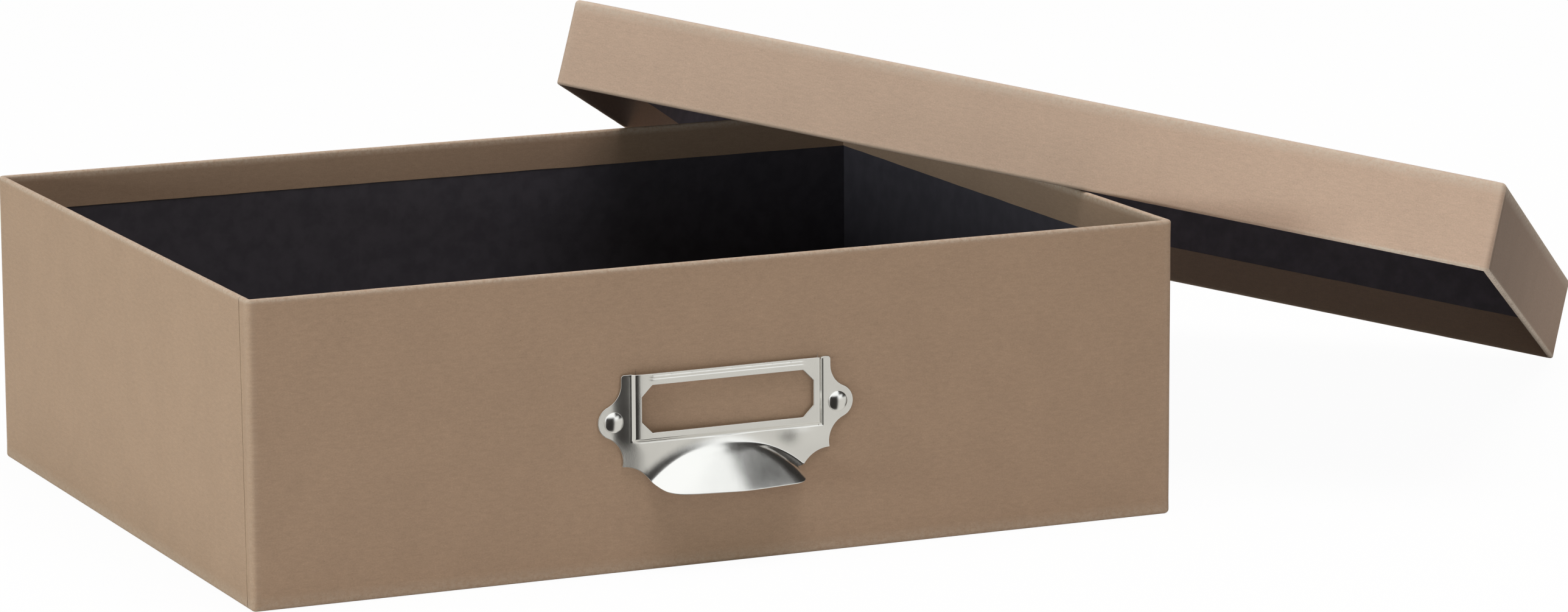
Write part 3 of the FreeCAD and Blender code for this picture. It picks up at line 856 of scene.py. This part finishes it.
DRAW_MOST = 1.6         # inside the arch it grows up to this
CUP_CREASE = 2.6        # softness between the ends and the face
RELIEF_CLEAR = 0.85     # the relief's points keep this far from the outline
FINE_GRID = 0.22        # across the frame's edges
COARSE_GRID = 0.9

ARCH_TOP = ARCH_CENTRE + ARCH_RADIUS
LIP_DROP = ARCH_TOP - LIP_HEIGHT
FACE_STEEP = math.atan2(CUP_DEPTH, LIP_DROP) + FACE_TURN
FACE_RADIUS = math.hypot(LIP_DROP, CUP_DEPTH) / (2 * math.sin(FACE_TURN))


def arc_points(centre, radius, start, end):
    """Points along an arc, from one angle to the other."""
    steps = max(2, math.ceil(abs(end - start) * radius / OUTLINE_STEP))
    return [Vector((centre[0] + radius * math.cos(start + (end - start) * i / steps),
                    centre[1] + radius * math.sin(start + (end - start) * i / steps)))
            for i in range(steps + 1)]


def line_points(a, b):
    """Points along a straight line, both ends included."""
    steps = max(1, math.ceil((Vector(b) - Vector(a)).length / OUTLINE_STEP))
    return [Vector(a).lerp(Vector(b), i / steps) for i in range(steps + 1)]


def half_outline():
    """Right half of the holder's outline, from the middle of its top to the cup's tip."""
    def tangent(x, radius, below):
        """Centre of an arc at x that touches the ear's, and the angle to it from the ear."""
        away = x - EAR_PITCH
        z = math.sqrt((EAR_RADIUS + radius) ** 2 - away ** 2) * below
        return (x, z), math.atan2(z, away)

    inward = math.pi
    shoulder_half = EAR_PITCH - SHOULDER_INSET
    waist_half = EAR_PITCH - WAIST_INSET
    neck, to_neck = tangent(shoulder_half + NECK_RADIUS, NECK_RADIUS, 1)
    waist, to_waist = tangent(waist_half + WAIST_RADIUS, WAIST_RADIUS, -1)
    shoulder = (shoulder_half - SHOULDER_RADIUS, HOLDER_TOP - SHOULDER_RADIUS)
    below_waist = inward + math.radians(WAIST_TURN)
    points = line_points((0, HOLDER_TOP), (shoulder[0], HOLDER_TOP))
    points += arc_points(shoulder, SHOULDER_RADIUS, math.pi / 2, 0)
    points += line_points((shoulder_half, shoulder[1]), (shoulder_half, neck[1]))
    points += arc_points(neck, NECK_RADIUS, inward, inward + to_neck)
    points += arc_points((EAR_PITCH, 0), EAR_RADIUS, to_neck, to_waist)
    points += arc_points(waist, WAIST_RADIUS, inward + to_waist, below_waist)
    cusp = points[-1]
    tip = Vector((TIP_HALF, TIP_HEIGHT))
    chord = tip - cusp
    across = Vector((-chord.y, chord.x)).normalized()
    below = math.sqrt(SCALLOP_RADIUS ** 2 - chord.length ** 2 / 4)
    centre = (cusp + tip) / 2 + across * below
    start = math.atan2(cusp.y - centre.y, cusp.x - centre.x)
    end = math.atan2(tip.y - centre.y, tip.x - centre.x)
    if abs(end - start) > math.pi:
        end += math.copysign(2 * math.pi, start - end)
    points += arc_points(centre, SCALLOP_RADIUS, start, end)
    return points


def soft_max(a, b, soft):
    """The larger of two heights, rounded where they cross."""
    return max(a, b) + max(0.0, soft - abs(a - b)) ** 2 / (4 * soft)


def soft_min(a, b, soft):
    """The smaller of two heights, rounded where they cross."""
    return -soft_max(-a, -b, soft)


def cup_height(x, z):
    """Height of the cup, below 0 outside its arch: a sloping face, and steeper ends."""
    edge = ARCH_RADIUS - math.hypot(x, z - ARCH_CENTRE)
    run = blend(CUP_MIDDLE, -CUP_MIDDLE, x) * (LEFT_RUN - RIGHT_RUN) + RIGHT_RUN
    full = CUP_DEPTH + CUP_CREASE
    side = full * (1 - max(0.0, 1 - edge / run) ** 2)
    if edge < 0:
        side = full * 2 * edge / run
    drop = ARCH_TOP - z
    if drop > 0:
        down = min(1.0, math.sin(FACE_STEEP) - drop / FACE_RADIUS)
        face = FACE_RADIUS * (math.sqrt(1 - down * down) - math.cos(FACE_STEEP))
    else:
        face = math.tan(FACE_STEEP) * drop
    away = x - RIDGE_LEAN * (drop / LIP_DROP - RIDGE_START)
    face -= RIDGE_FALL * (math.hypot(away, RIDGE_SOFT) - RIDGE_SOFT)
    return min(CUP_DEPTH, soft_min(side, face, CUP_CREASE))


def inside_frame(x, z):
    """How far a place lies inside the raised frame's ends and foot."""
    return min(FRAME_HALF - abs(x), z + FRAME_DROP)


def frame_step(x, z):
    """Height of the raised frame over the plate: a sloping step with soft bends."""
    return max(0.0, soft_min(soft_max(inside_frame(x, z), 0.0, BEND), FRAME_RISE, BEND))


def frame_crease(x, z):
    """Depth of the crease just outside the frame's foot and right end."""
    away = min(1.0, abs(inside_frame(x, z) + CREASE_HALF) / CREASE_HALF)
    depth = CREASE_DEPTH * (0.5 + 0.5 * math.cos(math.pi * away))
    return depth * blend(-FRAME_HALF, CREASE_START - FRAME_HALF, x)


def rib_height(x, z):
    """The ribs along the top bar, fading out at their ends."""
    length = blend(WINDOW_HALF - RIB_INSET, WINDOW_HALF - RIB_INSET - 1.5, abs(x))
    rise = 0.0
    for n in range(RIB_COUNT):
        away = abs(z - (HOLDER_TOP - RIB_BELOW_TOP - n * RIB_SPACING))
        rise = max(rise, math.cos(min(1.0, away / RIB_HALF) * math.pi) * 0.5 + 0.5)
    return RIB_RISE * rise * length


def plate_bow(x, z):
    """What lifts the plate off flat: its left side, the draw round the arch, a soft hump."""
    low = blend(-4.0, -13.0, z)
    near = blend(-FRAME_HALF - FLANGE_REACH, -FRAME_HALF + 1.0 + LOW_REACH * low, x)
    lift = (FLANGE_LIFT + LOW_LIFT * low) * near * blend(FRAME_HALF - 12.0, -FRAME_HALF, x)
    outside = math.hypot(x, z - ARCH_CENTRE) - ARCH_RADIUS
    drawn = min(DRAW_MOST, max(0.0, 1 - outside / DRAW_REACH))
    lift += DRAW_RISE * drawn * drawn * blend(26.0, -4.0, x)
    away = math.hypot((x - HUMP_AT[0]) / HUMP_REACH[0], (z - HUMP_AT[1]) / HUMP_REACH[1])
    return lift + HUMP_RISE * math.exp(-away * away)


def stamped_height(x, z):
    """Height of the stamping's face over the flat plate."""
    step = frame_step(x, z)
    share = step / FRAME_RISE
    bar = min(1.0, max(0.0, (x + FRAME_HALF) / END_BAR))
    crown = BAR_CROWN * (1 - (1 - bar) ** 2) if x < 0 else BAR_CROWN
    crown *= blend(WINDOW_HALF, -WINDOW_HALF, x)
    plate = plate_bow(x, z) + step + share * (rib_height(x, z) + crown) - frame_crease(x, z)
    root = CUP_ROOT * blend(24.0, 0.0, x) + CUP_ROOT_LEAST
    return min(CUP_DEPTH, soft_max(plate, cup_height(x, z), root))


def lip_points():
    """The edge of the cup's open underside, from the right tip to the left one."""
    points = []
    ends = spread(TIP_HALF, TIP_HALF - LIP_FINE, OUTLINE_STEP / 2)[1:]
    middle = spread(TIP_HALF - LIP_FINE, LIP_FINE - TIP_HALF, OUTLINE_STEP)[1:-1]
    for x in ends + middle + [-x for x in reversed(ends)]:
        low = LIP_HEIGHT - 1.0
        high = TIP_HEIGHT + 1.0
        for _ in range(30):
            z = (low + high) / 2
            if z > TIP_HEIGHT - math.tan(MOUTH_ANGLE) * max(0.0, cup_height(x, z)):
                high = z
            else:
                low = z
        points.append(Vector((x, z)))
    return points


def window_points():
    """The label window, an oblong with its corners cut off."""
    c = WINDOW_CHAMFER
    low = WINDOW_RISE - WINDOW_HALF_HEIGHT
    high = WINDOW_RISE + WINDOW_HALF_HEIGHT
    w = WINDOW_HALF
    corners = [(-w, low + c), (-w + c, low), (w - c, low), (w, low + c),
               (w, high - c), (w - c, high), (-w + c, high), (-w, high - c)]
    points = []
    for index, corner in enumerate(corners):
        points += line_points(corner, corners[(index + 1) % len(corners)])[:-1]
    return points


def thinned(points, least):
    """The points with any that repeats its neighbour left out, round a closed loop."""
    kept = []
    for point in points:
        if not kept or (point - kept[-1]).length > least:
            kept.append(point)
    if (kept[0] - kept[-1]).length <= least:
        kept.pop()
    return kept


def relief_points():
    """Places that carry the relief: rows along the frame, rings on the cup, a grid elsewhere."""
    side = spread(-FRAME_HALF - 1.2, -WINDOW_HALF - 0.4, FINE_GRID)
    xs = side + spread(-WINDOW_HALF + 0.6, WINDOW_HALF - 0.6, 0.65) + [-x for x in side]
    zs = (spread(-FRAME_DROP - 1.2, -FRAME_DROP + FOOT_BAR - 0.4, FINE_GRID)
          + spread(-FRAME_DROP + FOOT_BAR + 0.6, HOLDER_TOP - TOP_BAR - 0.6, 1.0)
          + spread(HOLDER_TOP - TOP_BAR + 0.35, HOLDER_TOP - 0.4, 0.16))
    points = [Vector((x, z)) for x in xs for z in zs]
    for radii, step in ((spread(26.0, ARCH_RADIUS - 3.0, 0.8), 0.9),
                        (spread(ARCH_RADIUS - 2.8, ARCH_RADIUS + 2.6, 0.3), 0.5)):
        for r in radii:
            for turn in spread(0.0, math.pi, step / r):
                z = ARCH_CENTRE + r * math.sin(turn)
                if z < -FRAME_DROP - 1.5:
                    points.append(Vector((r * math.cos(turn), z)))
    for x in spread(-EAR_PITCH - EAR_RADIUS, EAR_PITCH + EAR_RADIUS, COARSE_GRID):
        for z in spread(TIP_HEIGHT - 4.0, HOLDER_TOP, COARSE_GRID):
            in_frame = inside_frame(x, z) > -1.6
            on_cup = math.hypot(x, z - ARCH_CENTRE) < ARCH_RADIUS + 3.0
            if not in_frame and not on_cup:
                points.append(Vector((x, z)))
    return points


def edge_points(loops):
    """Rows of points along both sides of the loops."""
    points = []
    for loop in loops:
        for index, point in enumerate(loop):
            way = loop[(index + 1) % len(loop)] - loop[index - 1]
            side = Vector((-way.y, way.x)).normalized()
            for distance in EDGE_ROWS:
                points += [point + side * distance, point - side * distance]
    return points


def clear_of(points, loops, least):
    """Those of the points that are farther than this from every point of the loops."""
    cells = {}
    for point in (point for loop in loops for point in loop):
        cells.setdefault((round(point.x), round(point.y)), []).append(point)
    kept = []
    for point in points:
        x, y = round(point.x), round(point.y)
        near = [other for dx in (-1, 0, 1) for dy in (-1, 0, 1)
                for other in cells.get((x + dx, y + dy), [])]
        if all((point - other).length > least for other in near):
            kept.append(point)
    return kept


def label_holder(material):
    """The whole stamping: its face from the heights, its back by thickening, its edges rounded."""
    right = half_outline()
    left = [Vector((-p.x, p.y)) for p in reversed(right)]
    outline = thinned(right + lip_points() + left, 0.2)
    holes = [window_points()]
    for side in (-1, 1):
        ring = arc_points((side * EAR_PITCH, 0), SHANK_RADIUS + SHANK_PLAY, 0, 2 * math.pi)
        holes.append(ring[:-1])
    loops = [outline] + holes
    inner = clear_of(relief_points(), loops, RELIEF_CLEAR)
    inner += clear_of(edge_points(loops), loops, 0.95 * EDGE_ROWS[0])
    flat, faces = fill_outline(loops, [point for point in inner if enclosed(point, loops)])
    front = -BOX_DEPTH / 2
    points = [(p.x, front - STEEL - stamped_height(p.x, p.y), RIVET_LINE + p.y) for p in flat]
    mesh = bpy.data.meshes.new("label_pull")
    mesh.from_pydata([Vector(p) * MM for p in points], [], faces)
    work = bmesh.new()
    work.from_mesh(mesh)
    loose = [v for v in work.verts if not v.link_faces]
    bmesh.ops.delete(work, geom=loose, context="VERTS")
    for face in work.faces:
        if face.normal.y > 0:
            face.normal_flip()
    work.to_mesh(mesh)
    work.free()
    piece = add_piece("label_pull", mesh, "box", material, ["label_holder"], 180.0)
    thick = piece.modifiers.new("thickness", "SOLIDIFY")
    thick.thickness = STEEL * MM
    thick.offset = -1.0
    thick.use_even_offset = True
    thick.use_quality_normals = True
    bevel = piece.modifiers.new("rounded edges", "BEVEL")
    bevel.limit_method = "ANGLE"
    bevel.angle_limit = math.radians(55)
    bevel.width = EDGE_ROUND * MM
    bevel.segments = 2
    bevel.use_clamp_overlap = False
    weld(piece)


# ---- rivets and washers ----

ROUND_STEPS = 56
DOME_SHARES = (0.02, 0.15, 0.3, 0.45, 0.6, 0.75, 0.87, 0.95)    # rings of the head, by radius


def lathe(name, section, x, material, nodes, closed):
    """A section of (radius, outward) points turned about an axis through the front wall at x."""
    points = []
    for radius, outward in section:
        for step in range(ROUND_STEPS):
            turn = 2 * math.pi * step / ROUND_STEPS
            points.append((x + radius * math.cos(turn), -BOX_DEPTH / 2 - outward,
                           RIVET_LINE + radius * math.sin(turn)))
    faces = []
    rows = len(section)
    for i in range(rows if closed else rows - 1):
        n = (i + 1) % rows
        for j in range(ROUND_STEPS):
            k = (j + 1) % ROUND_STEPS
            faces.append((i * ROUND_STEPS + j, i * ROUND_STEPS + k,
                          n * ROUND_STEPS + k, n * ROUND_STEPS + j))
    if not closed:
        for row in (0, rows - 1):
            faces.append(tuple(row * ROUND_STEPS + j for j in range(ROUND_STEPS)))
    mesh = new_mesh(name, points, faces, Matrix.Identity(4))
    add_piece(name, mesh, "box", material, nodes, 50.0)


def rivet_section():
    """A dome head with a rolled edge, the shank, and the tail spread over its washer."""
    top = STEEL + HEAD_HEIGHT
    rise = HEAD_HEIGHT - HEAD_EDGE
    dome = (HEAD_RADIUS ** 2 + rise ** 2) / (2 * rise)
    section = []
    for share in DOME_SHARES:
        radius = share * HEAD_RADIUS
        section.append((radius, top - dome + math.sqrt(dome ** 2 - radius ** 2)))
    brow = top - rise
    section += [(HEAD_RADIUS - 0.06, brow + 0.02), (HEAD_RADIUS, brow - 0.108),
                (HEAD_RADIUS, STEEL + 0.08), (HEAD_RADIUS - 0.08, STEEL)]
    seat = -(WALL - PAPER + WASHER_THICKNESS)
    section += [(SHANK_RADIUS, STEEL), (SHANK_RADIUS, seat), (TAIL_RADIUS - 0.1, seat),
                (TAIL_RADIUS, seat - 0.1)]
    for turn in (20, 40, 60, 80):
        angle = math.radians(turn)
        section.append((TAIL_RADIUS * math.cos(angle), seat - TAIL_HEIGHT * math.sin(angle)))
    return section


def washer_section():
    """A flat ring against the inside of the wall, its edges taken off."""
    inner = SHANK_RADIUS + SHANK_PLAY
    start = -(WALL - PAPER)
    end = start - WASHER_THICKNESS
    soft = 0.1
    return [(inner + soft, start), (WASHER_RADIUS - soft, start), (WASHER_RADIUS, start - soft),
            (WASHER_RADIUS, end + soft), (WASHER_RADIUS - soft, end), (inner + soft, end),
            (inner, end + soft), (inner, start - soft)]


# ---- everything together ----

def dress_nodes(materials):
    """Materials for the CAD nodes that stay."""
    for name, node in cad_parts.items():
        if name.endswith("_lining"):
            material = materials[name]
        elif name.endswith("_stays"):
            material = materials["tape"]
        elif name.endswith("_board"):
            material = materials["board"]
        else:
            continue
        for slot in node.material_slots:
            slot.material = material


bpy.context.scene.view_settings.view_transform = "Standard"
make_camera()
make_lights()
make_world()
make_floor()
kraft = kraft_paper("kraft_paper", PLAIN)
# painted light: the lid's kraft is a paler, bluer copy of the box's
lit_lid_kraft = kraft_paper("lid_kraft_painted_light", LID_PAINTED_LIGHT)
nickel = plated("nickel_plate", (0.94, 0.93, 0.91), 0.17, 0.010)
steel = plated("washer_steel", (0.50, 0.50, 0.50), 0.30, 0.012)
# the lid's lining is a paler copy of the black lining: painted light
dress_nodes({"base_lining": black_lining("black_lining", PLAIN),
             "lid_lining": black_lining("lid_black_lining_painted_light", LID_LINING_PAINTED_LIGHT),
             "tape": gummed_tape(), "board": greyboard()})
leaning, lid_size = lid_place()
cover_half("base", "bottom_sheet", "box", (BOX_WIDTH, BOX_DEPTH), BOX_HEIGHT,
           Matrix.Identity(4), 1.0, False, kraft)
cover_half("lid", "top_sheet", "lid", lid_size, LID_HEIGHT, leaning, 4.0, True, lit_lid_kraft)
label_holder(nickel)
for side, name in ((-1, "left"), (1, "right")):
    lathe(name + "_rivet_domed", rivet_section(), side * EAR_PITCH, nickel,
          [name + "_rivet"], False)
    lathe(name + "_washer_ring", washer_section(), side * EAR_PITCH, steel,
          ["rivet_washers"], True)
